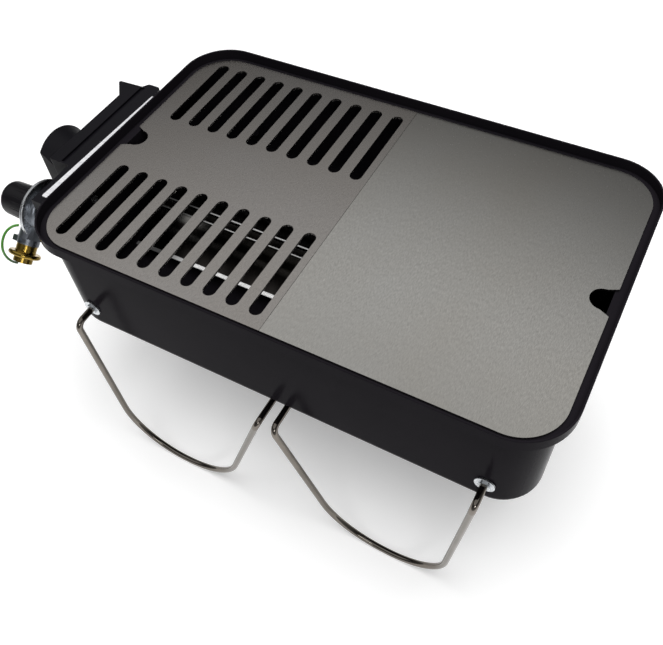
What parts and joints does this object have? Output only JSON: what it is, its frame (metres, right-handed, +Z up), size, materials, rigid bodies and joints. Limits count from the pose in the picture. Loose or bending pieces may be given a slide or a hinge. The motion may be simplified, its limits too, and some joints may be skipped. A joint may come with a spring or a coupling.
{
  "type": "folding camp grill",
  "caption": "Table-top gas grill on folding wire legs, with a slotted grill plate beside a flat griddle plate over a covered burner.",
  "frame": {"origin": "on the floor under the middle of the whole grill, which is 39 mm to the -X side of the bowl's middle", "axes": "+X right along the bowl's long side, away from the gas controls; +Y back; +Z up"},
  "size_m": [0.502, 0.298, 0.263],
  "materials": {
    "bowl": "gloss black enamel",
    "grill_plate": "ground steel, grain along Y",
    "griddle_plate": "ground steel, grain along Y",
    "left_leg": "black nickel plated wire",
    "right_leg": "black nickel plated wire",
    "left_leg_nuts": "zinc plated",
    "right_leg_nuts": "zinc plated",
    "burner_tube": "plain tube",
    "venturi": "plain",
    "flame_tamer": "bright rolled sheet",
    "burner_bracket": "zinc plated",
    "burner_screws": "zinc plated",
    "heat_shield": "bright rolled sheet",
    "shield_rivets": "zinc plated",
    "control_housing": "matt black moulding",
    "housing_screws": "zinc plated",
    "regulator_body": "die cast zinc alloy, satin",
    "regulator_cover": "zinc plated pressing",
    "gas_knob": "black moulding",
    "knob_spindle": "turned",
    "regulator_nut": "zinc plated",
    "gas_inlet": "turned",
    "inlet_seal": "soft black",
    "cap_lanyard": "green cord",
    "gas_pipe": "drawn tube",
    "jet": "turned",
    "igniter_body": "black moulding",
    "igniter_nut": "black moulding",
    "igniter_button": "black moulding",
    "electrode_insulator": "white glazed ceramic",
    "electrode_rod": "plain wire",
    "electrode_bracket": "zinc plated",
    "igniter_lead": "black silicone sleeve"
  },
  "bodies": {
    "grill_body": {"bowl": "bowl", "burner_tube": "burner_tube", "venturi": "venturi", "burner_bracket": "burner_bracket", "burner_screws": "burner_screws", "heat_shield": "heat_shield", "shield_rivets": "shield_rivets", "control_housing": "control_housing", "housing_screws": "housing_screws", "regulator_body": "regulator_body", "regulator_cover": "regulator_cover", "regulator_nut": "regulator_nut", "gas_inlet": "gas_inlet", "inlet_seal": "inlet_seal", "cap_lanyard": "cap_lanyard", "gas_pipe": "gas_pipe", "jet": "jet", "igniter_body": "igniter_body", "igniter_nut": "igniter_nut", "electrode_insulator": "electrode_insulator", "electrode_rod": "electrode_rod", "electrode_bracket": "electrode_bracket", "igniter_lead": "igniter_lead"},
    "grill_side_plate": {"grill_plate": "grill_plate"},
    "griddle_side_plate": {"griddle_plate": "griddle_plate"},
    "tamer": {"flame_tamer": "flame_tamer"},
    "left_leg_frame": {"left_leg": "left_leg", "left_leg_nuts": "left_leg_nuts"},
    "right_leg_frame": {"right_leg": "right_leg", "right_leg_nuts": "right_leg_nuts"},
    "gas_knob_group": {"gas_knob": "gas_knob", "knob_spindle": "knob_spindle"},
    "igniter_push": {"igniter_button": "igniter_button"}
  },
  "joints": [
    {"name": "left_leg_fold", "type": "hinge", "parent": "grill_body", "child": "left_leg_frame", "pos_m": [-0.1325, 0, 0.182], "axis": [0, 1, 0], "range_deg": [0, 250]},
    {"name": "right_leg_fold", "type": "hinge", "parent": "grill_body", "child": "right_leg_frame", "pos_m": [0.2105, 0, 0.182], "axis": [0, -1, 0], "range_deg": [0, 250]},
    {"name": "gas_knob_turn", "type": "hinge", "parent": "grill_body", "child": "gas_knob_group", "pos_m": [-0.236, -0.0773, 0.2161], "axis": [-1, 0, 0], "range_deg": [0, 270]},
    {"name": "igniter_press", "type": "slide", "parent": "grill_body", "child": "igniter_push", "axis": [1, 0, 0], "range_m": [0, 0.005]},
    {"name": "grill_lift", "type": "slide", "parent": "grill_body", "child": "grill_side_plate", "axis": [0, 0, 1], "range_m": [0, 0.12]},
    {"name": "griddle_lift", "type": "slide", "parent": "grill_body", "child": "griddle_side_plate", "axis": [0, 0, 1], "range_m": [0, 0.12]},
    {"name": "tamer_lift", "type": "slide", "parent": "grill_body", "child": "tamer", "axis": [0, 0, 1], "range_m": [0, 0.05]}
  ]
}
